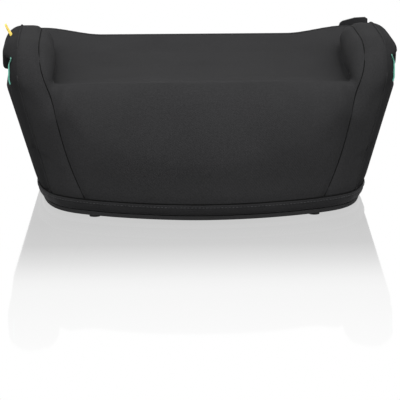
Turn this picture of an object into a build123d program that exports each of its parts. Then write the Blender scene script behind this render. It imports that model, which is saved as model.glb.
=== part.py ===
from build123d import *
import os

# Backless child booster seat. X to the right, Y to the rear, Z up, millimetres.
# Every body below is built from the same outlines, set in by a distance, so the
# cover, the foam and the moulded parts nest in one another.

# ---- driving dimensions -------------------------------------------------
HALF_BASE = 181.0        # half width of the body at the floor
HALF_ARM = 225.0         # half width at arm height
ARM_LEVEL = 140.0        # height where the arm walls turn upright
FRONT_Y = -196.0         # front centre at the floor
REAR_Y = 190.0           # rear wall
CREST_Z = 142.0          # front crest of the seat
DIP_Z = 132.5            # lowest line of the seat
REAR_Z = 152.0           # rear edge of the seat
ARM_Z = 180.0            # top of the arms
COVER = 3.5              # fabric with its laminated backing
SEAT_FOAM = 14.0
ARM_FOAM = 3.5
WALL = 3.0               # moulded wall
RIM_Z = 2.6              # underside of the rim above the floor
HEM_LOW, HEM_TOP = 8.0, 19.0
SEAM_X, SEAM_LEAN = 127.0, 0.32    # seam between centre panel and front strip
EDGE_X, EDGE_LEAN = 162.0, 0.30    # outer edge of the front strip
BOLSTER_X = 164.0        # inner face of the arms
REAR_SEAM_Y = 176.0
STRAP_W = 38.0           # shoulder strap webbing
STRAP_X = 180.0
SLOT_Y0, SLOT_Y1, SLOT_TOP = -81.0, -27.0, 161.5   # lap belt opening

os.makedirs("parts", exist_ok=True)
solids = {}


# half plan curves, front centre round to rear centre: (x, y) at the floor and at arm height
PLAN_FLOOR = [(0, FRONT_Y), (45, -191.5), (90, -179.5), (126, -164), (150, -148), (165, -127), (175, -95), (180, -55),
              (HALF_BASE, 20), (HALF_BASE, 80), (180, 140), (175, 172), (155, 187.5), (100, REAR_Y), (45, REAR_Y), (0, REAR_Y)]
PLAN_ARM = [(0, -190), (50, -186), (100, -173), (144, -155), (179, -134), (203.5, -109), (217, -79), (224, -45),
            (HALF_ARM, 10), (HALF_ARM, 60), (224, 120), (220, 164), (206, 186), (165, REAR_Y), (80, REAR_Y), (0, REAR_Y)]


def plan_points(z, t):
    k = z / ARM_LEVEL
    half = [(a[0] + (b[0] - a[0]) * k, a[1] + (b[1] - a[1]) * k) for a, b in zip(PLAN_FLOOR, PLAN_ARM)]
    ring = half + [(-x, y) for x, y in half[-2:0:-1]]
    n, out = len(ring), []
    for i, (x, y) in enumerate(ring):
        (x0, y0), (x1, y1) = ring[i - 1], ring[(i + 1) % n]
        a = ((x - x0) ** 2 + (y - y0) ** 2) ** 0.5
        b = ((x1 - x) ** 2 + (y1 - y) ** 2) ** 0.5
        tx = (x - x0) / a * b + (x1 - x) / b * a
        ty = (y - y0) / a * b + (y1 - y) / b * a
        m = (tx * tx + ty * ty) ** 0.5
        out.append((x - ty / m * t, y + tx / m * t))
    return out


def outline(z, t):
    """Plan outline of the body at height z, set in by t."""
    ring = Spline(*[(x, y, z) for x, y in plan_points(z, t)], periodic=True)
    return Face(Wire([ring]))


def body(t):
    return Solid.make_loft([outline(0, t).outer_wire(), outline(210, t).outer_wire()], ruled=True)


def under_seat(drop):
    """Everything below the seat surface lowered by drop."""
    with BuildSketch(Plane.YZ) as sk:
        with BuildLine():
            Spline((-240, CREST_Z - 12 - drop), (-196, CREST_Z - 4 - drop), (-150, CREST_Z - drop), (-60, DIP_Z - drop),
                   (40, DIP_Z + 1 - drop), (130, CREST_Z + 2 - drop), (REAR_Y, REAR_Z - drop), (240, REAR_Z + 4 - drop))
            Polyline((240, REAR_Z + 4 - drop), (240, -10), (-240, -10), (-240, CREST_Z - 12 - drop))
        make_face()
    return extrude(sk.sketch.faces()[0], amount=260, both=True)


def seat_block(side, top, r):
    b = body(side) & under_seat(top)
    b = b.solid()
    face = b.faces().sort_by(Axis.Z)[-1]
    for rr in (r, r - 1, r - 3, r * 0.7, r * 0.5):
        try:
            out = b.fillet(rr, face.edges())
            if out.is_valid:
                return out
        except Exception:
            pass
    print("seat block edge left sharp")
    return b


def one(shape, keep=1):
    s = sorted(shape.solids(), key=lambda q: -q.volume)
    return s[0] if keep == 1 else Compound(s[:keep])


def inset(points, t):
    """Straight-sided outline set in by t (points run clockwise)."""
    out, n = [], len(points)
    for i in range(n):
        (ax, ay), (bx, by), (cx, cy) = points[i - 1], points[i], points[(i + 1) % n]
        u, v = (bx - ax, by - ay), (cx - bx, cy - by)
        lu, lv = (u[0] ** 2 + u[1] ** 2) ** 0.5, (v[0] ** 2 + v[1] ** 2) ** 0.5
        nu, nv = (u[1] / lu, -u[0] / lu), (v[1] / lv, -v[0] / lv)
        k = 1 + nu[0] * nv[0] + nu[1] * nv[1]
        out.append((bx + t * (nu[0] + nv[0]) / k, by + t * (nu[1] + nv[1]) / k))
    return out


def arm_profile(t):
    """Side outline of an arm: pillar, bar over the belt opening, long rear part."""
    pts = [(-168, 60), (-150, 112), (-80, ARM_Z), (55, ARM_Z), (112, ARM_Z - 8), (128, 154), (112, 150), (SLOT_Y1 + 6, 141.5),
           (SLOT_Y1, SLOT_TOP), (SLOT_Y0, SLOT_TOP), (SLOT_Y0, 60)]
    rad = [0, 30, 46, 120, 20, 4, 0, 6, 0, 0, 0]
    concave = (8, 9)
    inn = inset(pts, t)
    with BuildSketch(Plane.YZ) as sk:
        Polygon(*[(round(x, 3), round(y, 3)) for x, y in inn], align=None)
        for i, (p, r) in enumerate(zip(inn, rad)):
            r = r + t if i in concave else r - t
            if r > 0.4:
                v = sk.vertices().sort_by_distance((p[0], p[1], 0))[0]
                try:
                    fillet(v, r)
                except Exception:
                    fillet(v, r * 0.5)
    return sk.sketch.faces()[0]


def ring_wire(level, t, z):
    return Wire([Spline(*[(x, y, z) for x, y in plan_points(level, t)], periodic=True)])


def arm_shape(t):
    """Right arm, from inside the shoulder of the seat up, its outer top edge rounded in steps."""
    steps = [(40, 40, 0), (ARM_LEVEL, ARM_LEVEL, 0), (ARM_Z - 23, ARM_LEVEL, 0.6), (ARM_Z - 14, ARM_LEVEL, 2.6),
             (ARM_Z - 7, ARM_LEVEL, 6.5), (ARM_Z - 2.5, ARM_LEVEL, 11.5), (ARM_Z + 0.5, ARM_LEVEL, 18)]
    wires = [ring_wire(level, t + extra, z - (t if z > ARM_LEVEL else 0)) for z, level, extra in steps]
    wall = Solid.make_loft(wires, ruled=True)
    prism = extrude(arm_profile(t), amount=260)
    if prism.bounding_box().max.X < 1:
        prism = extrude(arm_profile(t), amount=-260)
    inner = Polygon((BOLSTER_X + t, 40), (BOLSTER_X + t, ARM_Z - 16), (BOLSTER_X + t * 1.2 + 14, ARM_Z + 1 - t), (260, ARM_Z + 1 - t), (260, 40), align=None)
    inner = extrude(Plane.XZ * inner, amount=300, both=True)
    a = wall & prism
    return one(a & inner)


def half_space_x(x0, lean, keep_inside):
    """Both sides of the leaning seam planes; keep_inside keeps the middle."""
    z0, z1 = -10.0, 260.0
    with BuildSketch(Plane.XZ.offset(-300)) as sk:
        with BuildLine():
            Polyline((-(x0 + lean * z0), z0), (x0 + lean * z0, z0), (x0 + lean * z1, z1), (-(x0 + lean * z1), z1), close=True)
        make_face()
    return extrude(sk.sketch.faces()[0], amount=600)


def slab(z0, z1):
    return Pos(0, 0, (z0 + z1) / 2) * Box(600, 600, z1 - z0)


def right(shape):
    return shape & Pos(300, 0, 100) * Box(600, 800, 400)


def flip(shape):
    return mirror(shape, about=Plane.YZ)


# ---- nested bodies ------------------------------------------------------
S0 = seat_block(0, 0, 24)
S1 = seat_block(COVER, COVER, 20.5)
A0 = arm_shape(0)
A1 = arm_shape(COVER)
t2 = COVER + ARM_FOAM
pillar = Pos(215, -113, 119) * Box(2 * (215 - BOLSTER_X - t2), 46, 106)
bar_top = Pos(215, -2, ARM_Z - t2 - 2.2) * Box(2 * (215 - BOLSTER_X - t2), 204, 4.4)
tail = Pos(215, 44, ARM_Z - t2 - 8) * Box(2 * (215 - BOLSTER_X - t2), 112, 16)
inner_wall = Solid.make_loft([ring_wire(60, t2, 60), ring_wire(ARM_LEVEL, t2, ARM_LEVEL), ring_wire(ARM_LEVEL, t2, 220)], ruled=True)
A2 = one((pillar + bar_top + tail) & inner_wall & A1)
print("core", A2.volume, A2.is_valid)
DECK = COVER + SEAT_FOAM
SHELL_OUT = seat_block(COVER + 0.7, DECK + 0.2, 12)
SHELL_IN = seat_block(COVER + 0.7 + WALL, DECK + 0.2 + WALL, 9)

R0 = one(right(S0) + A0)
R1 = one(right(S1) + A1)
skin = one(R0 - R1 - slab(-20, HEM_TOP))
mid_seam = half_space_x(SEAM_X, SEAM_LEAN, True)
mid_edge = half_space_x(EDGE_X, EDGE_LEAN, True)
front_of_rear = Pos(0, REAR_SEAM_Y - 300, 100) * Box(700, 600, 400)

# ---- cover --------------------------------------------------------------
middle = skin & mid_seam & front_of_rear
bolster = one((middle & A0) - S0)
centre_r = one(middle - A0)
outer = skin - mid_seam
strip = one(outer & mid_edge & front_of_rear)
side = one((skin - mid_edge) & front_of_rear)
rear_r = one(skin - front_of_rear)
hem = one((body(-0.6) - body(COVER)) & slab(HEM_LOW, HEM_TOP))

# ---- moulded parts ------------------------------------------------------
shell = SHELL_OUT - SHELL_IN - slab(-20, RIM_Z)
ribs = None
for x in (-108, -36, 36, 108):
    ribs = Pos(x, 0, 90) * Box(2.4, 420, 130) if ribs is None else ribs + Pos(x, 0, 90) * Box(2.4, 420, 130)
for y in (-95, 10, 115):
    ribs = ribs + Pos(0, y, 90) * Box(420, 2.4, 130)
ribs = (ribs & SHELL_IN) - slab(-20, 62)
rim = (body(0.8) - body(17)) & slab(RIM_Z, RIM_Z + 4.4)
shell = one(shell + ribs + rim)

core = one(A2 - SHELL_OUT)
arm_foam = one(A1 - A2 - S1)
seat_foam = one(S1 - under_seat(DECK) - core - flip(core) - SHELL_OUT)

# armrest screws, driven up through the deck into the foot of each core
screw_spots = [(178.5, -112), (179, -98)]
SCREW_R, HEAD_R = 2.0, 4.0


def deck_under(x, y):
    for w in (1.0, 1.6, 2.2):
        hit = (Pos(x, y, 100) * Box(w, w, 120)) & SHELL_IN
        if hit and hit.bounding_box().max.Z > 80:
            return hit.bounding_box().max.Z
    raise ValueError("no deck at the screw")


screws = []
for x, y in screw_spots:
    z = deck_under(x, y)
    screws.append(one(Pos(x, y, z - 1.3) * Cylinder(HEAD_R, 2.6) + Pos(x, y, z + 11) * Cylinder(SCREW_R, 22)))
    hole = Pos(x, y, z + 11) * Cylinder(SCREW_R, 22.2)
    core = one(core - hole)
    arm_foam = one(arm_foam - (Pos(x, y, z + 11) * Cylinder(SCREW_R + 0.3, 30)))
    shell = one(shell - (Pos(x, y, z + 11) * Cylinder(SCREW_R + 0.2, 26)) - flip(Pos(x, y, z + 11) * Cylinder(SCREW_R + 0.2, 26))
                - (Pos(x, y, z - 1.3) * Cylinder(HEAD_R, 2.6)) - flip(Pos(x, y, z - 1.3) * Cylinder(HEAD_R, 2.6)))
    seat_foam = one(seat_foam - (Pos(x, y, z + 11) * Cylinder(SCREW_R + 0.3, 30)) - flip(Pos(x, y, z + 11) * Cylinder(SCREW_R + 0.3, 30)))
screw_group = screws + [flip(s) for s in screws]

# ---- belt guides: an outer liner with its flange and an inner collar -------
GUIDE_T, GUIDE_OUT, JOIN_X = 2.6, 2.4, 186.0


def guide_profile(grow):
    c, g = 0.1, grow
    out = [(SLOT_Y0 + c - g, 100), (SLOT_Y0 + c - g, SLOT_TOP - c + g), (SLOT_Y1 - c + g, SLOT_TOP - c + g), (SLOT_Y1 + 4.2 + g, 147)]
    inn = [(SLOT_Y1 + 4.2 - GUIDE_T, 146.4), (SLOT_Y1 - GUIDE_T - 0.4, SLOT_TOP - GUIDE_T - c), (SLOT_Y0 + c + GUIDE_T, SLOT_TOP - GUIDE_T - c), (SLOT_Y0 + c + GUIDE_T, 100)]
    return extrude(Plane.YZ * Polygon(*(out + inn), align=None), amount=400, both=True)


def upright(t):
    return Solid.make_loft([ring_wire(60, t, 60), ring_wire(ARM_LEVEL, t, ARM_LEVEL), ring_wire(ARM_LEVEL, t, 220)], ruled=True)


hug, face = upright(-GUIDE_OUT), upright(-0.12)
liner = guide_profile(0) & hug
flange = (guide_profile(6) & hug) - face
beyond = Pos(JOIN_X + 200, 0, 150) * Box(400, 900, 400)
low = slab(-50, 135.3)
guide_outer = one((liner & beyond) + (flange & beyond) - low)
collar = (liner - beyond) & Pos(BOLSTER_X + COVER + 0.2 + 100, 0, 150) * Box(200, 900, 400)
guide_inner = one(collar - low)

# ---- rubber feet and the ties under the rim ------------------------------------


def rim_spot(x, y, dx, dy, depth):
    """Point at a depth inside the rim; dx, dy is the run of the rim there."""
    m = (dx * dx + dy * dy) ** 0.5
    return x - dy / m * depth, y + dx / m * depth


feet = []
for x, y, dx, dy in ((125, -164, 58, 30.5), (146, 181.5, -60, 14), (HALF_BASE, 20, 0, 1)):
    px, py = rim_spot(x, y, dx, dy, 9)
    foot = one(Pos(px, py, RIM_Z / 2) * Cylinder(6, RIM_Z) + Pos(px, py, RIM_Z + 1.5) * Cylinder(2.5, 3))
    feet += [foot, flip(foot)]
for f in feet:
    b = f.bounding_box().center()
    shell = one(shell - Pos(b.X, b.Y, RIM_Z + 1.5) * Cylinder(2.5, 3))

ties, hooks = [], []
for x, y, ang in ((92, -178.7, 23.5), (180.3, -45, 89), (100, REAR_Y, 180)):
    def put(shape):
        return Pos(x, y, 0) * Rot(0, 0, ang) * shape
    drop = Pos(0, -0.2, 4.6) * Box(12, 0.9, 6.6)
    under = Pos(0, 9.4, 1.8) * Box(12, 20, 1.0)
    tie = one(put(drop + under) - shell)
    hook = one(put(Pos(0, 19.4, 4.9) * Box(10, 1.8, 9.0) + Pos(0, 16.5, 8.4) * Box(10, 6.6, 2.0) + Pos(0, 19.4, 1.4) * Box(14, 3.2, 2.0)) - tie - shell)
    ties += [tie, flip(tie)]
    hooks += [hook, flip(hook)]

# ---- shoulder strap at the rear right corner -------------------------------------
STRAP_Y, LOOP_R, WEB_T, BAR_R = 197.2, 2.0, 1.2, 1.7
ANCHOR_Z, CLIP_Z, CLIP_TOP = 76.0, 114.0, 167.0


def bar(z, r, length, x=STRAP_X):
    return Pos(x, STRAP_Y, z) * Rot(0, 90, 0) * Cylinder(r, length)


def stadium(r, w):
    body_ = Pos(STRAP_X, STRAP_Y, (ANCHOR_Z + CLIP_Z) / 2) * Box(w, 2 * r, CLIP_Z - ANCHOR_Z)
    return body_ + bar(ANCHOR_Z, r, w) + bar(CLIP_Z, r, w)


webbing = one(stadium(LOOP_R + WEB_T, STRAP_W) - stadium(LOOP_R, STRAP_W + 2))
anchor = Pos(STRAP_X, 191.7, ANCHOR_Z - 8) * Box(STRAP_W + 6, 2.6, 30)
anchor = anchor + bar(ANCHOR_Z, BAR_R, STRAP_W + 6)
for sx in (-1, 1):
    anchor = anchor + Pos(STRAP_X + sx * (STRAP_W / 2 + 1.8), 195.4, ANCHOR_Z) * Box(2.6, 8, 7)
anchor = one(anchor - R0)
a_screws = []
for sx in (-1, 1):
    px = STRAP_X - 8 + sx * 9
    a_screws.append(one(Pos(px, 193.9, ANCHOR_Z - 17) * Rot(90, 0, 0) * Cylinder(3.2, 1.8) + Pos(px, 187.5, ANCHOR_Z - 17) * Rot(90, 0, 0) * Cylinder(1.6, 12)))
    anchor = one(anchor - Pos(px, 190, ANCHOR_Z - 17) * Rot(90, 0, 0) * Cylinder(1.7, 14))

ADJ_Z = 95.2
adjuster = Pos(STRAP_X, STRAP_Y, ADJ_Z) * (Box(STRAP_W + 5, 9.8, 11) - Box(STRAP_W + 1.0, 7.0, 12)) + bar(ADJ_Z, 1.4, STRAP_W + 3)
adjuster = one(adjuster)

cl = STRAP_X - STRAP_W / 2 - 1
cr = STRAP_X + STRAP_W / 2 + 1
LEAN = 14.0              # the head of the clip stands this far to the outside
head_l, head_r = cl + LEAN + 6, cr + LEAN
outline_clip = Polygon((cl, CLIP_Z + 4.6), (cl, CLIP_Z + 12), (cl + LEAN + 2, CLIP_Z + 36), (head_l, CLIP_TOP - 7), (head_l + 3, CLIP_TOP - 4.6),
                       (head_l + 18, CLIP_TOP - 0.6), (head_r - 3, CLIP_TOP), (head_r, CLIP_TOP - 2), (head_r, CLIP_Z + 36), (cr, CLIP_Z + 12),
                       (cr, CLIP_Z + 4.6), align=None)
clip = extrude(Plane.XZ.offset(-STRAP_Y) * outline_clip, amount=1.5, both=True)
slot = Polygon((cl + 14, 133), (cl + 14, 140), (cr + 1, 140), (cr + 1, 133), align=None)
mouth = Polygon((cl + 2, 144.5), (cl + 2, 149), (cl + 18, 140), (cl + 18, 135.6), align=None)
clip = clip - extrude(Plane.XZ.offset(-STRAP_Y) * slot, amount=4, both=True) - extrude(Plane.XZ.offset(-STRAP_Y) * mouth, amount=4, both=True)
for sx in (-1, 1):
    clip = clip + Pos(STRAP_X + sx * (STRAP_W / 2 + 1.9), STRAP_Y, CLIP_Z + 3.5) * Box(2.6, 3.6, 10.4)
clip = clip + bar(CLIP_Z, BAR_R, STRAP_W + 5)
ridge_x = (head_l + head_r) / 2 + 2
ridge = Pos(ridge_x, STRAP_Y + 1.9, CLIP_TOP - 5.2) * Box(22, 1.2, 1.6) + Pos(ridge_x, STRAP_Y + 1.9, CLIP_TOP - 8.8) * Box(22, 1.2, 1.6)
clip = one(clip + ridge)

# holes for the anchor screws
for sx in (-1, 1):
    px = STRAP_X - 8 + sx * 9
    cut = Pos(px, 187.5, ANCHOR_Z - 17) * Rot(90, 0, 0) * Cylinder(1.6, 12)
    rear_r = one(rear_r - cut)
    shell = one(shell - cut)

# ---- yellow tag in the outer seam of the left arm -------------------------------
tag = Pos(-HALF_ARM + 7, 6, ARM_Z + 2) * Rot(0, -27, 0) * Box(1.0, 16, 16)
tag = one(tag - flip(R0))

# ---- write ------------------------------------------------------------------------
solids["cover_centre_panel"] = one(centre_r + flip(centre_r))
solids["cover_rear_panel"] = one(rear_r + flip(rear_r))
solids["cover_hem_band"] = hem
for name, s in (("cover_front_strip", strip), ("cover_bolster_panel", bolster), ("cover_side_panel", side), 
                ("armrest_core", core), ("armrest_foam", arm_foam), ("belt_guide_outer", guide_outer), ("belt_guide_inner", guide_inner)):
    solids[name + "_right"] = s
    solids[name + "_left"] = flip(s)
solids["base_shell"] = shell
solids["seat_foam"] = seat_foam
solids["armrest_screws"] = screw_group
solids["feet"] = feet
solids["cover_ties"] = ties
solids["cover_hooks"] = hooks
solids["strap_anchor"] = anchor
solids["strap_anchor_screws"] = a_screws
solids["shoulder_strap"] = webbing
solids["strap_adjuster"] = adjuster
solids["belt_clip"] = clip
solids["tag"] = tag

# datum: middle of the overall box, on the floor
boxes = [s.bounding_box() for v in solids.values() for s in (v if isinstance(v, list) else [v])]
lo = [min(getattr(b.min, a) for b in boxes) for a in "XYZ"]
hi = [max(getattr(b.max, a) for b in boxes) for a in "XYZ"]
shift = Pos(-(lo[0] + hi[0]) / 2, -(lo[1] + hi[1]) / 2, -lo[2])
print("box", lo, hi, "shift", shift.position)
for name, v in solids.items():
    v = Compound([shift * s for s in v]) if isinstance(v, list) else shift * v
    export_step(v, f"parts/{name}.step")
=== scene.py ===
import bpy, bmesh, math
import numpy as np
from mathutils import Vector, Matrix


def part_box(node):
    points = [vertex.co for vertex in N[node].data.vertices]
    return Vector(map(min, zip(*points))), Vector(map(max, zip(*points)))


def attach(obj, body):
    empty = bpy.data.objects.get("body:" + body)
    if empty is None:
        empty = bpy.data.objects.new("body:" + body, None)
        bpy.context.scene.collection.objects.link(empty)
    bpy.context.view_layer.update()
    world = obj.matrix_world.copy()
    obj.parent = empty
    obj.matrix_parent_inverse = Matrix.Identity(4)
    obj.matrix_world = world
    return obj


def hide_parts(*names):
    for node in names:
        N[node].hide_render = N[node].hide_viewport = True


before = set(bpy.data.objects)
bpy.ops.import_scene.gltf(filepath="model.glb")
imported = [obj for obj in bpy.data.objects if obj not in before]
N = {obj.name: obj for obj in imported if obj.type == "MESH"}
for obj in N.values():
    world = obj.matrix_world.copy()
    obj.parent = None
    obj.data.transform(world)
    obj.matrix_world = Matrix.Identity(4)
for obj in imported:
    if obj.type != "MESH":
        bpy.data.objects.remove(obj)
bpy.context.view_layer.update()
scene = bpy.context.scene
MM = 0.001

# ---------------------------------------------------------------- sizes, as in the CAD (mm)
HALF_BASE, HALF_ARM, ARM_LEVEL = 181.0, 225.0, 140.0
FRONT_Y, REAR_Y = -196.0, 190.0
HEM_TOP = 19.0
# half width of the seam lines against height: inner seam and outer, piped edge of a front strip
SEAM = [(0, 122), (19, 131.5), (45, 143.5), (71, 153), (97, 160), (123, 166), (139, 173), (150, 178),
    (163, 181), (176, 182), (190, 183.5)]
EDGE = [(0, 163), (19, 169), (45, 176.5), (80, 186.5), (115, 197.5), (142, 204.5), (160, 206.5),
    (176, 206), (190, 205)]
REAR_SEAM_Y = 176.0
SLOT_Y0, SLOT_Y1, SLOT_TOP = -81.0, -27.0, 161.5    # lap belt opening
SEAM_CORD_R, PIPING_R, HEM_CORD_R, STITCH_R = 0.8, 1.2, 0.75, 0.32
STITCH_LEN, STITCH_GAP = 2.6, 1.5
STRAP_THICK, STRAP_SKIN = 1.2, 0.62                 # webbing, and half of it with its ribs
TAPE_WIDE, TAPE_THICK = 12.0, 0.9
PICK, TAPE_PICK = 1.1, 0.9                          # spacing of the woven ribs
GREEN_LIFT, GREEN_SINK = 1.9, 3.0                   # guide flange over the cloth, and its rear part under it
SHELL_GAP, CORE_GAP = 3.0, 3.5                      # hard parts stay this far under the cloth
# the CAD is centred on its box: read how far from the centre panel's front edge
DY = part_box("cover_centre_panel")[0].y / MM - (FRONT_Y + 6 * HEM_TOP / ARM_LEVEL)
DX = (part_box("cover_centre_panel")[0].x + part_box("cover_centre_panel")[1].x) / 2 / MM

PLAN_FLOOR = [(0, FRONT_Y), (45, -191.5), (90, -179.5), (126, -164), (150, -148), (165, -127),
(175, -95), (180, -55),
              (HALF_BASE, 20), (HALF_BASE, 80), (180, 140), (175, 172), (155, 187.5), (100, REAR_Y),
              (45, REAR_Y), (0, REAR_Y)]
PLAN_ARM = [(0, -190), (50, -186), (100, -173), (144, -155), (179, -134), (203.5, -109), (217, -79),
(224, -45),
            (HALF_ARM, 10), (HALF_ARM, 60), (224, 120), (220, 164), (206, 186), (165, REAR_Y),
            (80, REAR_Y), (0, REAR_Y)]


def line_x(table, z):
    """Half width of a seam line at a height, its corners eased."""
    t = np.array(table, float)
    return sum(np.interp(np.asarray(z, float) + d, t[:, 0], t[:, 1]) for d in (-9, -4.5, 0, 4.5, 9)) / 5


def smooth(a, b, x):
    t = np.clip((x - a) / (b - a), 0, 1)
    return t * t * (3 - 2 * t)


def plan_ring(level, per=6):
    """Plan outline at a height as a smooth closed curve of points."""
    k = level / ARM_LEVEL
    half = [(a[0] + (b[0] - a[0]) * k, a[1] + (b[1] - a[1]) * k) for a, b in zip(PLAN_FLOOR, PLAN_ARM)]
    p = np.array(half + [(-x, y) for x, y in half[-2:0:-1]], float)
    a, b, c, d = np.roll(p, 1, 0), p, np.roll(p, -1, 0), np.roll(p, -2, 0)
    out = []
    for t in np.arange(per) / per:
        out.append(0.5 * (2 * b + (c - a) * t + (2 * a - 5 * b + 4 * c - d) * t * t
            + (3 * b - a - 3 * c + d) * t ** 3))
    return np.stack(out, 1).reshape(-1, 2)


def polygon_distance(px, py, ring):
    """Signed distance to a closed outline, negative inside."""
    best = np.full(px.shape, 1e9, np.float32)
    inside = np.zeros(px.shape, bool)
    nxt = np.roll(ring, -1, 0)
    for (x0, y0), (x1, y1) in zip(ring, nxt):
        ex, ey = x1 - x0, y1 - y0
        t = np.clip(((px - x0) * ex + (py - y0) * ey) / (ex * ex + ey * ey + 1e-9), 0, 1)
        best = np.minimum(best, (px - x0 - t * ex) ** 2 + (py - y0 - t * ey) ** 2)
        if y0 != y1:
            cross = ((y0 > py) != (y1 > py)) & (px < ex * (py - y0) / ey + x0)
            inside ^= cross
    d = np.sqrt(best)
    return np.where(inside, -d, d)


def round_meet(a, b, r):
    """Meeting of two surfaces with an edge rounded to r."""
    return np.where((a > -r) & (b > -r), np.sqrt(np.maximum(a + r, 0) ** 2 + np.maximum(b + r, 0) ** 2)
        - r, np.maximum(a, b))


def soft_join(a, b, k):
    h = np.clip(0.5 + 0.5 * (b - a) / k, 0, 1)
    return b + (a - b) * h - k * h * (1 - h)


def skin_field(step):
    x = np.arange(-236, 236 + step, step, dtype=np.float32)
    y = np.arange(-210, 206, step, dtype=np.float32)
    z = np.arange(6, 194, step, dtype=np.float32)
    GX, GY = np.meshgrid(x, y, indexing="ij")
    AX = np.abs(GX)
    wall = np.empty((len(x), len(y), len(z)), np.float32)
    arm_ring = polygon_distance(AX, GY, plan_ring(ARM_LEVEL))
    levels = np.arange(0, 161, 16.0)
    stack = [polygon_distance(AX, GY, plan_ring(l)) for l in levels]
    for i, zz in enumerate(z):
        q = min(zz, 159.9) / 16.0
        j = int(q)
        wall[:, :, i] = stack[j] * (1 - (q - j)) + stack[j + 1] * (q - j)
    arm_wall = np.where(z[None, None, :] < ARM_LEVEL, wall, arm_ring[:, :, None]).astype(np.float32)
    X, Y, Z = AX[:, :, None], GY[:, :, None], z[None, None, :]
    wall = wall + (9.0 * smooth(55, 150, Z) * (1 - smooth(120, 165, X))
        - 1.6 * np.exp(-((Z - 62) / 34) ** 2) * (1 - smooth(110, 150, X))) * (1 - smooth(-150, -100, Y))
    # seat surface: crest, dip behind it, rise to the rear with the corners turned up
    h = np.interp(y, [-240, -200, -190, -180, -168, -155, -140, -122, -102, -80, -40, 40, 110, 150, 175, 200],
                  [80, 108, 118, 127, 135, 140.6, 143.2, 142.6, 139.4, 136, 133, 134, 139.5, 145, 150.5,
                  153.5]).astype(np.float32)
    kern = np.exp(-np.linspace(-2, 2, int(24 / step) * 2 + 1) ** 2)
    kern /= kern.sum()
    h = np.convolve(np.pad(h, len(kern) // 2, mode="edge"), kern, "valid").astype(np.float32)
    H = h[None, :] + 9.0 * smooth(112, 186, AX) * smooth(95, 165, GY)
    H = H - 15 * smooth(148, 172, AX) * (1 - smooth(-140, -105, GY)) - 1.5 * smooth(60, 168, AX) * (1
        - smooth(-60, 60, GY))
    R = 7 + 48 * (1 - smooth(-125, -70, GY)) * (1 - 0.55 * smooth(120, 160, AX)) + 5 * smooth(150, 185, GY)
    body = round_meet(wall, Z - H[:, :, None], R[:, :, None])
    # arms
    top_y = np.array([-200, -165, -150, -138, -125, -112, -98, -84, -68, -45, 55, 85, 112, 140])
    top_z = np.array([62, 92, 114, 131, 146, 158, 167.5, 174, 178.3, 180.2, 180.0, 177, 170, 158])
    ah = np.interp(y, top_y, top_z).astype(np.float32)
    ah = np.convolve(np.pad(ah, len(kern) // 2, mode="edge"), kern, "valid").astype(np.float32)
    inner_x = 168.0 - 4.0 * np.exp(-((Y + 60) / 70) ** 2) * np.exp(-((Z
        - 152) / 22) ** 2) + 3 * smooth(30, 125, Y)
    inner = inner_x - X
    crown = Z - ah[None, :, None]
    arm = round_meet(arm_wall, crown, 20.0)
    arm = round_meet(arm, inner, 21.0)
    arm = round_meet(arm, Y - 125.5, 11.0)
    yz = np.meshgrid(y, z, indexing="ij")
    window = polygon_distance(yz[0], yz[1], np.array([(SLOT_Y0, 30), (SLOT_Y0, SLOT_TOP),
        (SLOT_Y1, SLOT_TOP), (SLOT_Y1 + 6, 141.5), (SLOT_Y1 + 6, 30)], float))
    slit = polygon_distance(yz[0], yz[1], np.array([(SLOT_Y0, 30), (SLOT_Y0, 141), (SLOT_Y1 + 6, 141.5),
        (112, 150), (150, 154), (150, 30)], float))
    void = np.minimum(slit[None, :, :], np.maximum(window[None, :, :], 184.5 - X))
    arm = round_meet(arm, -void, 4.5)
    arm = np.maximum(arm, 70 - Z)
    field = soft_join(body, arm, 3.5 + 9.0 * (1 - smooth(-135, -95, Y)))
    # the panels are pulled in along the seams
    seam = X - line_x(SEAM, z)[None, None, :]
    edge = X - line_x(EDGE, z)[None, None, :]
    near = (1 - smooth(-96, -60, Y)) + 0 * X
    field = field + (1.0 * np.exp(-(seam / 6.0) ** 2)
        + 1.3 * np.exp(-(seam / 2.4) ** 2)) * np.where(Z > 128, smooth(0, 40, 175 - Y) * (Y < 126), near)
    field = field + 1.9 * np.exp(-((edge - 2.5) / 3.4) ** 2) * near * (1 - smooth(120, 150, Z) * 0.55)
    field = field - 0.6 * np.exp(-((edge + 4.5) / 4.0) ** 2) * near
    field = field + 1.4 * np.exp(-((Z - HEM_TOP + 1) / 6.0) ** 2)
    field = field + 1.0 * np.exp(-((Y - REAR_SEAM_Y) / 4.0) ** 2)
    return x, y, z, field.astype(np.float32), (arm - body).astype(np.float32)


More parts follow.
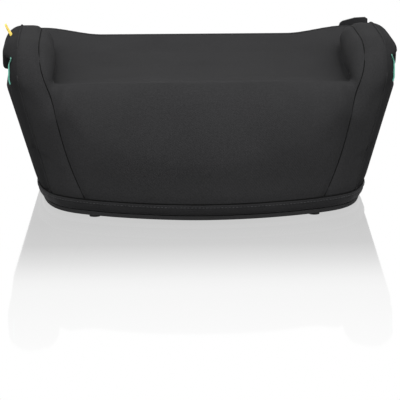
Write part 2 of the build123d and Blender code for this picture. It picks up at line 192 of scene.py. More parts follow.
def surface_net(x, y, z, f):
    """Quads along the zero level of a field on a grid."""
    s = f < 0
    c = np.zeros((f.shape[0] - 1, f.shape[1] - 1, f.shape[2] - 1), np.int8)
    for i in (0, 1):
        for j in (0, 1):
            for k in (0, 1):
                c += s[i:i + c.shape[0], j:j + c.shape[1], k:k + c.shape[2]]
    cell = (c > 0) & (c < 8)
    idx = -np.ones(c.shape, np.int64)
    cells = np.argwhere(cell)
    idx[cell] = np.arange(len(cells))
    acc, cnt = np.zeros((len(cells), 3)), np.zeros(len(cells))
    corners = [(i, j, k) for i in (0, 1) for j in (0, 1) for k in (0, 1)]
    for a in corners:
        for b in corners:
            if sum(b) - sum(a) == 1 and all(q >= p for p, q in zip(a, b)):
                fa = f[cells[:, 0] + a[0], cells[:, 1] + a[1], cells[:, 2] + a[2]]
                fb = f[cells[:, 0] + b[0], cells[:, 1] + b[1], cells[:, 2] + b[2]]
                m = (fa < 0) != (fb < 0)
                t = np.where(m, fa / np.where(m, fa - fb, 1), 0)
                for d in range(3):
                    acc[:, d] += np.where(m, cells[:, d] + a[d] + t * (b[d] - a[d]), 0)
                cnt += m
    v = acc / cnt[:, None]
    v = np.stack([np.interp(v[:, 0], np.arange(len(x)), x), np.interp(v[:, 1], np.arange(len(y)), y),
        np.interp(v[:, 2], np.arange(len(z)), z)], 1)
    quads = []
    for axis in range(3):
        lo = [slice(1, -1)] * 3
        lo[axis] = slice(0, -1)
        hi = [slice(1, -1)] * 3
        hi[axis] = slice(1, None)
        a, b = s[tuple(lo)], s[tuple(hi)]
        e = np.argwhere(a != b)
        flip = a[a != b]
        e = e + np.array([0 if d == axis else 1 for d in range(3)])
        o = [d for d in range(3) if d != axis]
        def at(du, dv):
            q = e.copy()
            q[:, o[0]] += du
            q[:, o[1]] += dv
            return idx[q[:, 0], q[:, 1], q[:, 2]]
        ring = np.stack([at(-1, -1), at(0, -1), at(0, 0), at(-1, 0)], 1)
        if axis == 1:
            flip = ~flip
        ring[~flip] = ring[~flip][:, ::-1]
        quads.append(ring)
    q = np.concatenate(quads)
    return v, q[(q >= 0).all(1)]


def place(v):
    return (np.asarray(v, float) + np.array([DX, DY, 0.0])) * MM


def mesh_object(name, verts, faces):
    me = bpy.data.meshes.new(name)
    me.from_pydata([tuple(p) for p in verts], [], [tuple(f) for f in faces])
    me.validate()
    ob = bpy.data.objects.new(name, me)
    scene.collection.objects.link(ob)
    return ob


# ---------------------------------------------------------------- materials
def new_material(name, base, rough=0.8, metallic=0.0, sheen=0.0, spec=0.3):
    m = bpy.data.materials.new(name)
    m.use_nodes = True
    nt = m.node_tree
    b = nt.nodes["Principled BSDF"]
    b.inputs["Base Color"].default_value = (*base, 1)
    b.inputs["Roughness"].default_value = rough
    b.inputs["Metallic"].default_value = metallic
    b.inputs["Specular IOR Level"].default_value = spec
    if sheen:
        b.inputs["Sheen Weight"].default_value = sheen
        b.inputs["Sheen Roughness"].default_value = 0.45
        b.inputs["Sheen Tint"].default_value = (0.9, 0.9, 0.92, 1)
    return m, nt, b


def node(nt, kind, **kw):
    n = nt.nodes.new(kind)
    for k, v in kw.items():
        if hasattr(n, k):
            setattr(n, k, v)
    return n


def fabric_material(name, dark, light, pitch=0.9, bump=0.25, sheen=0.35, rough=0.86):
    """Fine knitted cloth: crossing ribs a fraction of a millimetre wide, with a mottled yarn colour."""
    m, nt, b = new_material(name, dark, rough, sheen=sheen, spec=0.04)
    L = nt.links.new
    tc = node(nt, "ShaderNodeTexCoord")
    sep = node(nt, "ShaderNodeSeparateXYZ")
    L(tc.outputs["Object"], sep.inputs[0])
    waves = []
    for direction, sc in (("DIAGONAL", 1.0), ("Z", 1.25)):
        w = node(nt, "ShaderNodeTexWave", wave_type="BANDS", bands_direction=direction)
        w.inputs["Scale"].default_value = 1.0 / (pitch * MM) / 6.2832 * sc
        w.inputs["Distortion"].default_value = 1.2
        w.inputs["Detail"].default_value = 2.0
        w.inputs["Detail Scale"].default_value = 3.0
        L(tc.outputs["Object"], w.inputs["Vector"])
        waves.append(w)
    mul = node(nt, "ShaderNodeMath", operation="MULTIPLY")
    L(waves[0].outputs["Fac"], mul.inputs[0])
    L(waves[1].outputs["Fac"], mul.inputs[1])
    fine = node(nt, "ShaderNodeTexNoise")
    fine.inputs["Scale"].default_value = 800
    fine.inputs["Detail"].default_value = 3
    L(tc.outputs["Object"], fine.inputs["Vector"])
    broad = node(nt, "ShaderNodeTexNoise")
    broad.inputs["Scale"].default_value = 14
    broad.inputs["Detail"].default_value = 4
    L(tc.outputs["Object"], broad.inputs["Vector"])
    add = node(nt, "ShaderNodeMath", operation="ADD")
    L(fine.outputs["Fac"], add.inputs[0])
    L(mul.outputs[0], add.inputs[1])
    add2 = node(nt, "ShaderNodeMath", operation="MULTIPLY_ADD")
    L(broad.outputs["Fac"], add2.inputs[0])
    add2.inputs[1].default_value = 0.35
    L(fine.outputs["Fac"], add2.inputs[2])
    ramp = node(nt, "ShaderNodeMapRange")
    ramp.inputs["From Min"].default_value = 0.35
    ramp.inputs["From Max"].default_value = 1.0
    L(add2.outputs[0], ramp.inputs["Value"])
    mix = node(nt, "ShaderNodeMix", data_type="RGBA")
    mix.inputs["A"].default_value = (*dark, 1)
    mix.inputs["B"].default_value = (*light, 1)
    L(ramp.outputs[0], mix.inputs["Factor"])
    L(mix.outputs["Result"], b.inputs["Base Color"])
    bp = node(nt, "ShaderNodeBump")
    bp.inputs["Strength"].default_value = bump
    bp.inputs["Distance"].default_value = 0.25 * MM
    L(add.outputs[0], bp.inputs["Height"])
    L(bp.outputs["Normal"], b.inputs["Normal"])
    rr = node(nt, "ShaderNodeMapRange")
    rr.inputs["To Min"].default_value = rough - 0.08
    rr.inputs["To Max"].default_value = min(1, rough + 0.08)
    L(broad.outputs["Fac"], rr.inputs["Value"])
    L(rr.outputs[0], b.inputs["Roughness"])
    return m


def plastic_material(name, base, rough=0.5, grain=0.15, spec=0.45, scale=900):
    """Moulded plastic: fine spark-eroded grain, edges softened, a little uneven gloss."""
    m, nt, b = new_material(name, base, rough, spec=spec)
    L = nt.links.new
    tc = node(nt, "ShaderNodeTexCoord")
    n = node(nt, "ShaderNodeTexNoise")
    n.inputs["Scale"].default_value = scale
    n.inputs["Detail"].default_value = 4
    L(tc.outputs["Object"], n.inputs["Vector"])
    soft = node(nt, "ShaderNodeBevel")
    soft.inputs["Radius"].default_value = 0.6 * MM
    soft.samples = 4
    bp = node(nt, "ShaderNodeBump")
    bp.inputs["Strength"].default_value = grain
    bp.inputs["Distance"].default_value = 0.12 * MM
    L(n.outputs["Fac"], bp.inputs["Height"])
    L(soft.outputs["Normal"], bp.inputs["Normal"])
    L(bp.outputs["Normal"], b.inputs["Normal"])
    big = node(nt, "ShaderNodeTexNoise")
    big.inputs["Scale"].default_value = 30
    big.inputs["Detail"].default_value = 5
    L(tc.outputs["Object"], big.inputs["Vector"])
    rr = node(nt, "ShaderNodeMapRange")
    rr.inputs["To Min"].default_value = rough - 0.1
    rr.inputs["To Max"].default_value = rough + 0.1
    L(big.outputs["Fac"], rr.inputs["Value"])
    L(rr.outputs[0], b.inputs["Roughness"])
    mix = node(nt, "ShaderNodeMix", data_type="RGBA")
    mix.inputs["A"].default_value = (*[c * 0.88 for c in base], 1)
    mix.inputs["B"].default_value = (*[min(1, c * 1.12) for c in base], 1)
    L(big.outputs["Fac"], mix.inputs["Factor"])
    L(mix.outputs["Result"], b.inputs["Base Color"])
    return m


def webbing_material(name, base):
    """Woven narrow webbing with ribs across its width."""
    m, nt, b = new_material(name, base, 0.75, sheen=0.3, spec=0.25)
    L = nt.links.new
    tc = node(nt, "ShaderNodeTexCoord")
    w1 = node(nt, "ShaderNodeTexWave", wave_type="BANDS", bands_direction="Z")
    w1.inputs["Scale"].default_value = 140
    w1.inputs["Distortion"].default_value = 0.6
    w2 = node(nt, "ShaderNodeTexWave", wave_type="BANDS", bands_direction="X")
    w2.inputs["Scale"].default_value = 180
    w2.inputs["Distortion"].default_value = 0.6
    L(tc.outputs["Object"], w1.inputs["Vector"])
    L(tc.outputs["Object"], w2.inputs["Vector"])
    mul = node(nt, "ShaderNodeMath", operation="MULTIPLY")
    L(w1.outputs["Fac"], mul.inputs[0])
    L(w2.outputs["Fac"], mul.inputs[1])
    mix = node(nt, "ShaderNodeMix", data_type="RGBA")
    mix.inputs["A"].default_value = (*[c * 0.6 for c in base], 1)
    mix.inputs["B"].default_value = (*[c * 1.6 for c in base], 1)
    L(mul.outputs[0], mix.inputs["Factor"])
    L(mix.outputs["Result"], b.inputs["Base Color"])
    bp = node(nt, "ShaderNodeBump")
    bp.inputs["Strength"].default_value = 0.5
    bp.inputs["Distance"].default_value = 0.3 * MM
    L(mul.outputs[0], bp.inputs["Height"])
    L(bp.outputs["Normal"], b.inputs["Normal"])
    return m


def steel_material(name):
    m, nt, b = new_material(name, (0.55, 0.55, 0.56), 0.35, metallic=1.0, spec=0.5)
    L = nt.links.new
    tc = node(nt, "ShaderNodeTexCoord")
    n = node(nt, "ShaderNodeTexNoise")
    n.inputs["Scale"].default_value = 400
    L(tc.outputs["Object"], n.inputs["Vector"])
    rr = node(nt, "ShaderNodeMapRange")
    rr.inputs["To Min"].default_value = 0.25
    rr.inputs["To Max"].default_value = 0.5
    L(n.outputs["Fac"], rr.inputs["Value"])
    L(rr.outputs[0], b.inputs["Roughness"])
    return m


COVER = fabric_material("cover_cloth", (0.0118, 0.0118, 0.0122), (0.0228, 0.0228, 0.0236), sheen=0.0,
    rough=0.95)
SIDE = fabric_material("side_cloth", (0.0095, 0.0095, 0.0099), (0.018, 0.018, 0.0187), sheen=0.0, rough=0.95)
BAND = fabric_material("band_cloth", (0.007, 0.007, 0.0074), (0.0135, 0.0135, 0.014), pitch=1.3,
    bump=0.45, sheen=0.08)
# near-black cord colour: the sewn seam, darkened as painted shade of the groove along each seam
SEAM_THREAD_SHADE = fabric_material("thread", (0.002, 0.002, 0.002), (0.005, 0.005, 0.005), pitch=0.5, sheen=0.0)
STITCH = fabric_material("stitch_thread", (0.022, 0.022, 0.023), (0.04, 0.04, 0.042), pitch=0.5, sheen=0.1)
GREEN = plastic_material("guide_green", (0.13, 0.42, 0.32), 0.42, grain=0.1)
SHELL = plastic_material("shell_black", (0.007, 0.007, 0.0075), 0.6, spec=0.2)
CORE = plastic_material("core_grey", (0.05, 0.05, 0.052), 0.55)
CLIP = plastic_material("clip_black", (0.009, 0.009, 0.010), 0.42)
RUBBER = plastic_material("foot_rubber", (0.02, 0.02, 0.02), 0.8, spec=0.3)
WEB = webbing_material("webbing_black", (0.016, 0.016, 0.017))
STEEL = steel_material("zinc_steel")
YELLOW = fabric_material("tag_cloth", (0.55, 0.40, 0.05), (0.75, 0.58, 0.12), pitch=0.6, bump=0.3, sheen=0.1)


def dress(names, mat):
    for n in names:
        o = N[n]
        o.data.materials.clear()
        o.data.materials.append(mat)
        for p in o.data.polygons:
            p.use_smooth = False


dress(["belt_guide_inner_right", "belt_guide_inner_left"], GREEN)
dress(["cover_hooks", "strap_anchor", "strap_adjuster", "belt_clip"], CLIP)
dress(["feet"], RUBBER)
dress(["armrest_screws", "strap_anchor_screws"], STEEL)


# ---------------------------------------------------------------- webbing: shoulder strap and hem tapes
def webbing(name, centres, normals, across, width, thick, closed, replaces):
    """A woven band swept along a path: rounded selvedges, a rib at every pick."""
    n = len(centres)
    section = []
    for k in range(11):
        u = -1 + 2 * k / 10
        section.append((u, math.sqrt(max(1 - abs(u) ** 14, 0.04))))
    loop = section + [(u, -v) for u, v in reversed(section)]
    verts, faces = [], []
    for i, (c, nn) in enumerate(zip(centres, normals)):
        rib = 1.0 if i % 2 else 0.82
        for u, v in loop:
            verts.append(Vector(c) + Vector(across) * (u * width / 2) + Vector(nn) * (v * thick / 2 * rib))
    m = len(loop)
    for i in range(n if closed else n - 1):
        a, b = i * m, (i + 1) % n * m
        for k in range(m):
            faces.append([a + k, a + (k + 1) % m, b + (k + 1) % m, b + k])
    if not closed:
        faces += [list(range(m))[::-1], [(n - 1) * m + k for k in range(m)]]
    ob = mesh_object(name, place(np.array([tuple(v) for v in verts])), faces)
    fix = bmesh.new()
    fix.from_mesh(ob.data)
    bmesh.ops.recalc_face_normals(fix, faces=fix.faces)
    fix.to_mesh(ob.data)
    fix.free()
    ob.data.materials.append(WEB)
    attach(ob, "base")
    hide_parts(*replaces)
    return ob


# shoulder strap: one loop of webbing from the anchor bar up through the adjuster to the clip
lo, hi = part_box("shoulder_strap")
SX, SY = (lo.x + hi.x) / 2 / MM - DX, (lo.y + hi.y) / 2 / MM - DY
SR = (hi.y - lo.y) / 2 / MM - STRAP_SKIN
SZ0, SZ1 = lo.z / MM + SR + STRAP_SKIN, hi.z / MM - SR - STRAP_SKIN
run, nor = [], []
for z in np.arange(SZ0, SZ1, PICK):
    run.append((SX, SY - SR, z))
    nor.append((0, -1, 0))
for a in np.linspace(180, 0, 9):
    d = (0, math.cos(math.radians(a)), math.sin(math.radians(a)))
    run.append((SX, SY + SR * d[1], SZ1 + SR * d[2]))
    nor.append(d)
for z in np.arange(SZ1 - PICK, SZ0, -PICK):
    run.append((SX, SY + SR, z))
    nor.append((0, 1, 0))
for a in np.linspace(0, -180, 9)[:-1]:
    d = (0, math.cos(math.radians(a)), math.sin(math.radians(a)))
    run.append((SX, SY + SR * d[1], SZ0 + SR * d[2]))
    nor.append(d)
webbing("shoulder_strap_web", run, nor, (1, 0, 0), (hi.x - lo.x) / MM, STRAP_THICK, True, ["shoulder_strap"])

# short tapes from the hem under the rim to the hooks
for k, (x, y, ang) in enumerate(((92, -178.7, 23.5), (180.3, -45, 89), (100, REAR_Y, 180))):
    for word, sgn in (("right", 1), ("left", -1)):
        run, nor = [], []
        c, s_ = math.cos(math.radians(ang)), math.sin(math.radians(ang))
        for t in np.arange(5.0, 19.0, TAPE_PICK):
            sag = 1.75 + 0.25 * math.cos((t - 5) / 14 * 2 * math.pi)
            run.append((sgn * (x - t * s_), y + t * c, sag))
            nor.append((0, 0, 1))
        tape_name = "hem_tape_%d_%s" % (k + 1, word)
        webbing(tape_name, run, nor, (sgn * c, s_, 0), TAPE_WIDE, TAPE_THICK, False, ["cover_ties"])

# ---------------------------------------------------------------- the upholstered cover
STEP = 2.0
gx, gy, gz, field, arm_first = skin_field(STEP)
verts, quads = surface_net(gx, gy, gz, field)
whole = mesh_object("cover_whole", verts, quads)
bm = bmesh.new()
bm.from_mesh(whole.data)
bmesh.ops.smooth_vert(bm, verts=bm.verts, factor=0.5, use_axis_x=True, use_axis_y=True, use_axis_z=True)
bmesh.ops.smooth_vert(bm, verts=bm.verts, factor=0.5, use_axis_x=True, use_axis_y=True, use_axis_z=True)


def cut(co, no, clear=False):
    geom = list(bm.verts) + list(bm.edges) + list(bm.faces)
    bmesh.ops.bisect_plane(bm, geom=geom, dist=0.02, plane_co=co, plane_no=no, clear_inner=clear)


def cut_along(table, sgn):
    """Cut the cover along a seam line: the line is straightened, cut as a plane, and bent back."""
    shift = line_x(table, [v.co.z for v in bm.verts])
    for v, d in zip(bm.verts, shift):
        v.co.x -= sgn * d
    cut((0, 0, 0), (sgn, 0, 0))
    shift = line_x(table, [v.co.z for v in bm.verts])
    for v, d in zip(bm.verts, shift):
        v.co.x += sgn * d


cut((0, 0, HEM_TOP), (0, 0, 1), clear=True)
for sgn in (1, -1):
    cut_along(SEAM, sgn)
    cut_along(EDGE, sgn)
cut((0, REAR_SEAM_Y, 0), (0, 1, 0))
bm.normal_update()
bm.to_mesh(whole.data)
bm.free()
me = whole.data
nv = len(me.vertices)
co = np.empty(nv * 3)
me.vertices.foreach_get("co", co)
co = co.reshape(-1, 3)
nrm = np.empty(nv * 3)
me.vertices.foreach_get("normal", nrm)
nrm = nrm.reshape(-1, 3)
faces = [tuple(p.vertices) for p in me.polygons]
cen = np.array([co[list(f)].mean(0) for f in faces])
ax = np.abs(cen[:, 0])
in_mid = ax < line_x(SEAM, cen[:, 2])
in_edge = ax < line_x(EDGE, cen[:, 2])
rear = cen[:, 1] > REAR_SEAM_Y


def sample(grid, p):
    """Value of a grid at any points, from the eight corners round each."""
    out = np.zeros(len(p))
    q = [np.interp(p[:, k], g, np.arange(len(g))) for k, g in enumerate((gx, gy, gz))]
    lo = [np.clip(v.astype(int), 0, len(g) - 2) for v, g in zip(q, (gx, gy, gz))]
    for i in (0, 1):
        for j in (0, 1):
            for k in (0, 1):
                w = np.prod([(v - l) if t else (1 - v + l) for v, l, t in zip(q, lo, (i, j, k))], axis=0)
                out += w * grid[lo[0] + i, lo[1] + j, lo[2] + k]
    return out


def slope(p):
    """Direction in which the field grows: straight out of the cloth."""
    g = np.stack([sample(field, p + e) - sample(field, p - e) for e in np.eye(3) * 1.5], axis=1)
    return g / np.maximum(np.linalg.norm(g, axis=1), 1e-9)[:, None]


def tucked(node_name, mat, most, above, grain=9.0):
    """The hard part under or on the cover.

    Its skin stands no more than `most` mm outside the cloth, wherever it is above a level.
    """
    bmt = bmesh.new()
    bmt.from_mesh(N[node_name].data)
    bmesh.ops.remove_doubles(bmt, verts=bmt.verts, dist=1e-6)
    for _ in range(4):
        long_edges = [e for e in bmt.edges if e.calc_length() > grain * MM]
        if not long_edges:
            break
        bmesh.ops.subdivide_edges(bmt, edges=long_edges, cuts=1)
        bmesh.ops.triangulate(bmt, faces=bmt.faces)
    q = np.array([v.co for v in bmt.verts]) / MM - np.array([DX, DY, 0.0])
    for _ in range(2):
        f = sample(field, q)
        rear_part = np.clip((q[:, 1] + 88) / 12, 0, 1) if node_name.startswith("belt_guide") else 0.0
        push = np.where(q[:, 2] > above, np.maximum(f - most + GREEN_SINK * rear_part, 0.0), 0.0)
        q = q - np.clip(push, 0, 30)[:, None] * slope(q)
    for v, c in zip(bmt.verts, place(q)):
        v.co = c
    me = bpy.data.meshes.new(node_name + "_skin")
    bmt.to_mesh(me)
    bmt.free()
    ob = bpy.data.objects.new(node_name + "_skin", me)
    scene.collection.objects.link(ob)
    me.materials.append(mat)
    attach(ob, "base")
    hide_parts(node_name)


RIM_LEVEL, EVERYWHERE = 26.0, -99.0
tucked("base_shell", SHELL, -SHELL_GAP, RIM_LEVEL)
for word in ("right", "left"):
    tucked("armrest_core_" + word, CORE, -CORE_GAP, EVERYWHERE)
    tucked("belt_guide_outer_" + word, GREEN, GREEN_LIFT, EVERYWHERE, grain=5.0)

over = sample(arm_first, cen) < 0
CENTRE, REAR, STRIP, FLANK, BOLSTER = range(5)
kind = np.where(in_mid, CENTRE, np.where(in_edge, STRIP, FLANK))
kind = np.where(rear, REAR, np.where(in_mid & over, BOLSTER, kind))
side_of = np.where(cen[:, 0] > 0, 1, -1)
bpy.data.objects.remove(whole)


def panel(name, pick, mat, replaces):
    """One piece of the cover: the picked faces, shaded as part of the whole skin."""
    ids = np.nonzero(pick)[0]
    used = sorted({v for i in ids for v in faces[i]})
    remap = {v: j for j, v in enumerate(used)}
    ob = mesh_object(name, place(co[used]), [[remap[v] for v in faces[i]] for i in ids])
    m = ob.data
    for p in m.polygons:
        p.use_smooth = True
    m.normals_split_custom_set_from_vertices([tuple(nrm[v]) for v in used])
    m.materials.append(mat)
    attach(ob, "base")
    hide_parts(*replaces)


panel("centre_panel", kind == CENTRE, COVER, ["cover_centre_panel", "seat_foam"])
panel("rear_panel", kind == REAR, SIDE, ["cover_rear_panel"])
for word, sgn in (("right", 1), ("left", -1)):
    s = side_of == sgn
    strip_nodes = ["cover_front_strip_" + word, "armrest_foam_" + word]
    panel("front_strip_" + word, (kind == STRIP) & s, COVER, strip_nodes)
    panel("bolster_" + word, (kind == BOLSTER) & s, COVER, ["cover_bolster_panel_" + word])
    panel("side_panel_" + word, (kind == FLANK) & s, SIDE, ["cover_side_panel_" + word])


# ---------------------------------------------------------------- seam cords and piping along the panel edges
def seam_run(on, centre=(-20.0, 90.0), step=1.1):
    """Points of a cut line in order round a centre in the side view, with their normals."""
    p, m = co[on], nrm[on]
    a = np.degrees(np.arctan2(p[:, 2] - centre[1], centre[0] - p[:, 1]))
    out = []
    for lo_ in np.arange(a.min(), a.max(), step):
        k = (a >= lo_) & (a < lo_ + step)
        if k.any():
            out.append(np.concatenate([p[k].mean(0), m[k].mean(0)]))
    return np.array(out)


def tube(name, points, radius, mat, resolution, closed=False):
    """A sewn cord as a mesh: a round line through points."""
    cu = bpy.data.curves.new(name, "CURVE")
    cu.dimensions = "3D"
    cu.bevel_depth = radius * MM
    cu.bevel_resolution = resolution
    cu.use_fill_caps = not closed
    sp = cu.splines.new("POLY")
    sp.points.add(len(points) - 1)
    sp.use_cyclic_u = closed
    for q, w in zip(sp.points, place(points)):
        q.co = (*w, 1)
    tmp = bpy.data.objects.new(name + "_c", cu)
    scene.collection.objects.link(tmp)
    bpy.context.view_layer.update()
    me2 = bpy.data.meshes.new_from_object(tmp.evaluated_get(bpy.context.evaluated_depsgraph_get()))
    bpy.data.objects.remove(tmp)
    me2.name = name
    ob = bpy.data.objects.new(name, me2)
    scene.collection.objects.link(ob)
    for q in me2.polygons:
        q.use_smooth = True
    me2.materials.clear()
    me2.materials.append(mat)
    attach(ob, "base")


def cord_on(name, run, radius, lift, mat):
    """A cord along a cut line, lifted off the skin and evened out."""
    p = run[:, :3] + run[:, 3:] * lift
    for _ in range(3):
        p[1:-1] = (p[:-2] + 2 * p[1:-1] + p[2:]) / 4
    tube(name, p, radius, mat, 3)


for word, sgn in (("right", 1), ("left", -1)):
    x_, y_, z_ = sgn * co[:, 0], co[:, 1], co[:, 2]
    on = (np.abs(x_ - line_x(SEAM, z_)) < 0.3) & (y_ < 121) & ((y_ < -100) | (z_ > 168))
    # the seam cords are near black: painted shade of the groove where strip and centre panel meet
    cord_on("seam_" + word, seam_run(on), SEAM_CORD_R, -0.45, SEAM_THREAD_SHADE)
    on = (np.abs(x_ - line_x(EDGE, z_)) < 0.3) & (y_ < 118) & ((y_ < -70) | (z_ > 163))
    cord_on("piping_" + word, seam_run(on), PIPING_R, 0.1, COVER)
on = np.abs(co[:, 1] - REAR_SEAM_Y) < 0.05
order = np.argsort(np.degrees(np.arctan2(co[on][:, 0], co[on][:, 2] - 60)))
line = np.concatenate([co[on], nrm[on]], 1)[order]
line = np.array([line[k:k + 4].mean(0) for k in range(0, len(line) - 3, 4)])
cord_on("rear_seam", line, 0.7, -0.3, COVER)


# ---------------------------------------------------------------- hem band, gathered a little by its elastic
def ring_at(level, inset):
    """Plan outline at a height, moved inwards."""
    p = plan_ring(level, per=24)
    t = np.roll(p, -1, 0) - np.roll(p, 1, 0)
    t /= np.linalg.norm(t, axis=1)[:, None]
    return p + np.stack([-t[:, 1], t[:, 0]], 1) * inset


profile = [(20.2, 2.4), (19.6, 0.9), (18.6, -0.3), (16.5, -1.0), (13.5, -1.15), (10.5, -0.9),
    (8.6, -0.1), (7.7, 1.2), (7.5, 3.0), (8.0, 5.0)]
rings = []
for zz, ins in profile:
    r = ring_at(zz, ins)
    arc = np.concatenate([[0], np.cumsum(np.linalg.norm(np.diff(r, axis=0), axis=1))])
    gather = math.exp(-((zz - 13.0) / 3.2) ** 2)
    pucker = 0.28 * np.sin(arc / 3.9 + 1.3 * np.sin(arc / 37.0)) * gather + 0.22 * np.sin(arc / 11.0 + 0.7)
    t = np.roll(r, -1, 0) - np.roll(r, 1, 0)
    t /= np.linalg.norm(t, axis=1)[:, None]
    out = np.stack([t[:, 1], -t[:, 0]], 1)
    rings.append(np.column_stack([r + out * pucker[:, None], np.full(len(r), zz)]))
nr = len(rings[0])
hv = np.concatenate(rings)
hf = [(i * nr + j, i * nr + (j + 1) % nr, (i + 1) * nr + (j + 1) % nr, (i + 1) * nr + j)
    for i in range(len(rings) - 1) for j in range(nr)]
hem = mesh_object("hem_band", place(hv), [f[::-1] for f in hf])
for p in hem.data.polygons:
    p.use_smooth = True
hem.data.materials.append(BAND)
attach(hem, "base")
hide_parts("cover_hem_band")

# seam line where the band meets the panels, near black as painted shade of its groove, and the stitch line on
# the band
HEM_SEAM_Z, STITCH_Z = 19.7, 16.4
hem_line = ring_at(19.6, 0.7)
hem_points = np.column_stack([hem_line, np.full(len(hem_line), HEM_SEAM_Z)])
tube("hem_seam", hem_points, HEM_CORD_R, SEAM_THREAD_SHADE, 2, closed=True)


def stitches(name, ring, zz, length, gap, radius, mat):
    """Separate stitches round a closed line, each a short thread that dives into the cloth at its ends."""
    seg = np.linalg.norm(np.roll(ring, -1, 0) - ring, axis=1)
    arc = np.concatenate([[0], np.cumsum(seg)])
    closed = np.vstack([ring, ring[:1]])
    vs, fs = [], []
    n = int(arc[-1] // (length + gap))
    for i in range(n):
        a0 = i * arc[-1] / n
        for j, (da, rr) in enumerate(((0, 0.35), (0.2, 1.0), (0.8, 1.0), (1.0, 0.35))):
            a = a0 + da * length
            px, py = np.interp(a, arc, closed[:, 0]), np.interp(a, arc, closed[:, 1])
            qx, qy = np.interp(a + 0.5, arc, closed[:, 0]) - px, np.interp(a + 0.5, arc, closed[:, 1]) - py
            m = math.hypot(qx, qy) or 1
            ox, oy = qy / m, -qx / m
            base = len(vs)
            for k in range(6):
                th = k * math.pi / 3
                vs.append((px + ox * radius * rr * math.cos(th), py + oy * radius * rr * math.cos(th),
                    zz + radius * rr * math.sin(th)))
            if j:
                for k in range(6):
                    fs.append((base - 6 + k, base - 6 + (k + 1) % 6, base + (k + 1) % 6, base + k))
        fs.append(tuple(range(len(vs) - 24, len(vs) - 18))[::-1])
        fs.append(tuple(range(len(vs) - 6, len(vs))))
    ob = mesh_object(name, place(vs), fs)
    for p in ob.data.polygons:
        p.use_smooth = True
    ob.data.materials.append(mat)
    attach(ob, "base")


stitches("hem_stitches", ring_at(STITCH_Z, -1.25), STITCH_Z, STITCH_LEN, STITCH_GAP, STITCH_R, STITCH)

# ---------------------------------------------------------------- the yellow tag: a small slip of woven tape
lo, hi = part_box("tag")
tv, tf = [], []
nu, nw = 14, 10
base_pt = Vector((hi.x, (lo.y + hi.y) / 2, lo.z))
tip_pt = Vector((lo.x, (lo.y + hi.y) / 2, hi.z))
up = tip_pt - base_pt
for i in range(nw + 1):
    t = i / nw
    for j in range(nu + 1):
        u = j / nu - 0.5
        p = base_pt + up * t
        tag_x = p.x - 0.0006 * math.sin(t * 3.0) + 0.0004 * math.sin(u * 5)
        tag_y = p.y + u * (hi.y - lo.y) * 0.96
        tv.append((tag_x, tag_y, p.z + 0.0005 * math.sin(t * 2.6 + u * 2)))
for i in range(nw):
    for j in range(nu):
        a = i * (nu + 1) + j
        tf.append((a, a + 1, a + nu + 2, a + nu + 1))
tag = mesh_object("maker_tag", tv, tf)
mod = tag.modifiers.new("thick", "SOLIDIFY")
mod.thickness = 0.0009
mod.offset = 0
for p in tag.data.polygons:
    p.use_smooth = True
tag.data.materials.append(YELLOW)
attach(tag, "base")
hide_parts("tag")

# ---------------------------------------------------------------- floor, light, camera
me = bpy.data.meshes.new("floor")
me.from_pydata([(-6, -6, 0), (6, -6, 0), (6, 6, 0), (-6, 6, 0)], [], [(0, 1, 2, 3)])
floor = bpy.data.objects.new("floor", me)
scene.collection.objects.link(floor)
fm = bpy.data.materials.new("floor_white")
fm.use_nodes = True
nt = fm.node_tree
L = nt.links.new
nt.nodes.clear()
outn = nt.nodes.new("ShaderNodeOutputMaterial")
em = nt.nodes.new("ShaderNodeEmission")
em.inputs["Color"].default_value = (1, 1, 1, 1)
em.inputs["Strength"].default_value = 1.0
gl = nt.nodes.new("ShaderNodeBsdfGlossy")
gl.inputs["Roughness"].default_value = 0.04
gl.inputs["Color"].default_value = (1, 1, 1, 1)
geo = nt.nodes.new("ShaderNodeNewGeometry")
sp = nt.nodes.new("ShaderNodeSeparateXYZ")
L(geo.outputs["Position"], sp.inputs[0])
away = nt.nodes.new("ShaderNodeMath")
away.operation = "MULTIPLY_ADD"
away.inputs[1].default_value = -1.0
away.inputs[2].default_value = -0.196
L(sp.outputs["Y"], away.inputs[0])
mr = nt.nodes.new("ShaderNodeValToRGB")
stops = [(0.0, .42), (0.10, .385), (0.155, .29), (0.18, .245), (0.216, .17), (0.252, .11), (0.29, .08),
    (0.40, .055), (0.55, .025), (0.70, 0.0)]
while len(mr.color_ramp.elements) < len(stops):
    mr.color_ramp.elements.new(0.5)
for e, (p, v) in zip(mr.color_ramp.elements, stops):
    e.position = p
for e, (p, v) in zip(mr.color_ramp.elements, stops):
    e.position, e.color = p, (v, v, v, 1)
L(away.outputs[0], mr.inputs["Fac"])
mx = nt.nodes.new("ShaderNodeMixShader")
L(mr.outputs[0], mx.inputs["Fac"])
L(em.outputs[0], mx.inputs[1])
L(gl.outputs[0], mx.inputs[2])
L(mx.outputs[0], outn.inputs["Surface"])
floor.data.materials.append(fm)
# the glow of the floor falls on nothing but the floor
only_floor = bpy.data.collections.new("floor_light")
only_floor.objects.link(floor)
floor.light_linking.receiver_collection = only_floor

SOFTBOX, STRIP_BOXES, AMBIENT = 4.6, 1.9, 0.08      # strengths
world = bpy.data.worlds.new("studio")
scene.world = world
world.use_nodes = True
wt = world.node_tree
bg = wt.nodes["Background"]
bg.inputs["Color"].default_value = (1, 1, 1, 1)


def wmath(op, a, b=None):
    n = wt.nodes.new("ShaderNodeMath")
    n.operation = op
    for k, v in enumerate((a, b)):
        if v is None:
            continue
        if isinstance(v, (int, float)):
            n.inputs[k].default_value = v
        else:
            wt.links.new(v, n.inputs[k])
    return n.outputs[0]


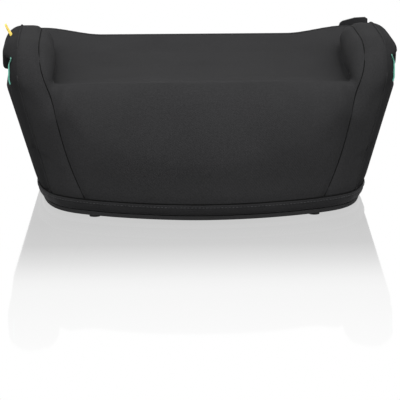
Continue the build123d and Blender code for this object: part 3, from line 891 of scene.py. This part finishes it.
# soft box above and in front, strip boxes at the sides, a white wall behind for the floor to mirror
wc = wt.nodes.new("ShaderNodeTexCoord")
ws = wt.nodes.new("ShaderNodeSeparateXYZ")
wt.links.new(wc.outputs["Generated"], ws.inputs[0])
dot = wmath("ADD", wmath("MULTIPLY", ws.outputs["Y"], -0.36), wmath("MULTIPLY", ws.outputs["Z"], 0.933))
glow = wmath("MULTIPLY", wmath("POWER", wmath("MAXIMUM", dot, 0.0), 3.2), SOFTBOX)
aside = wmath("ADD", wmath("MULTIPLY", wmath("ABSOLUTE", ws.outputs["X"]), 0.78),
    wmath("ADD", wmath("MULTIPLY", ws.outputs["Y"], -0.34), wmath("MULTIPLY", ws.outputs["Z"], 0.52)))
strips = wmath("MULTIPLY", wmath("POWER", wmath("MAXIMUM", aside, 0.0), 6.0), STRIP_BOXES)
lit = wmath("ADD", wmath("ADD", glow, strips), AMBIENT)
behind = wmath("MULTIPLY", wmath("GREATER_THAN", ws.outputs["Y"], 0.5),
    wmath("LESS_THAN", ws.outputs["Z"], 0.42))
total = wmath("ADD", wmath("MULTIPLY", lit, wmath("SUBTRACT", 1.0, behind)), behind)
wt.links.new(total, bg.inputs["Strength"])
scene.view_settings.view_transform = "Standard"


def area(name, loc, target, size, power):
    li = bpy.data.lights.new(name, "AREA")
    li.shape = "RECTANGLE"
    li.size, li.size_y = size
    li.energy = power
    ob = bpy.data.objects.new(name, li)
    scene.collection.objects.link(ob)
    ob.location = loc
    ob.rotation_euler = (Vector(target) - Vector(loc)).to_track_quat("-Z", "Y").to_euler()
    return ob


area("overhead", (0.0, -0.9, 1.9), (0, 0, 0.1), (1.8, 1.2), 2)

cam = bpy.data.cameras.new("camera")
cam_ob = bpy.data.objects.new("camera", cam)
scene.collection.objects.link(cam_ob)
scene.camera = cam_ob
FOCAL = 2457 / 400                                  # focal length in frame widths
AZ, DIST, HEIGHT, ROLL = math.radians(-2.0), 2.796, 0.600, math.radians(-0.15)
cam_ob.location = (math.sin(AZ) * DIST, -math.cos(AZ) * DIST + DY * MM, HEIGHT)
target = Vector((-0.0065, (FRONT_Y + DY) * MM, 0.0254))
q = (target - cam_ob.location).to_track_quat("-Z", "Y")
cam_ob.rotation_euler = (q.to_matrix() @ Matrix.Rotation(ROLL, 3, "Z")).to_euler()
cam.sensor_width = 36
cam.lens = cam.sensor_width * FOCAL
cam.clip_end = 50
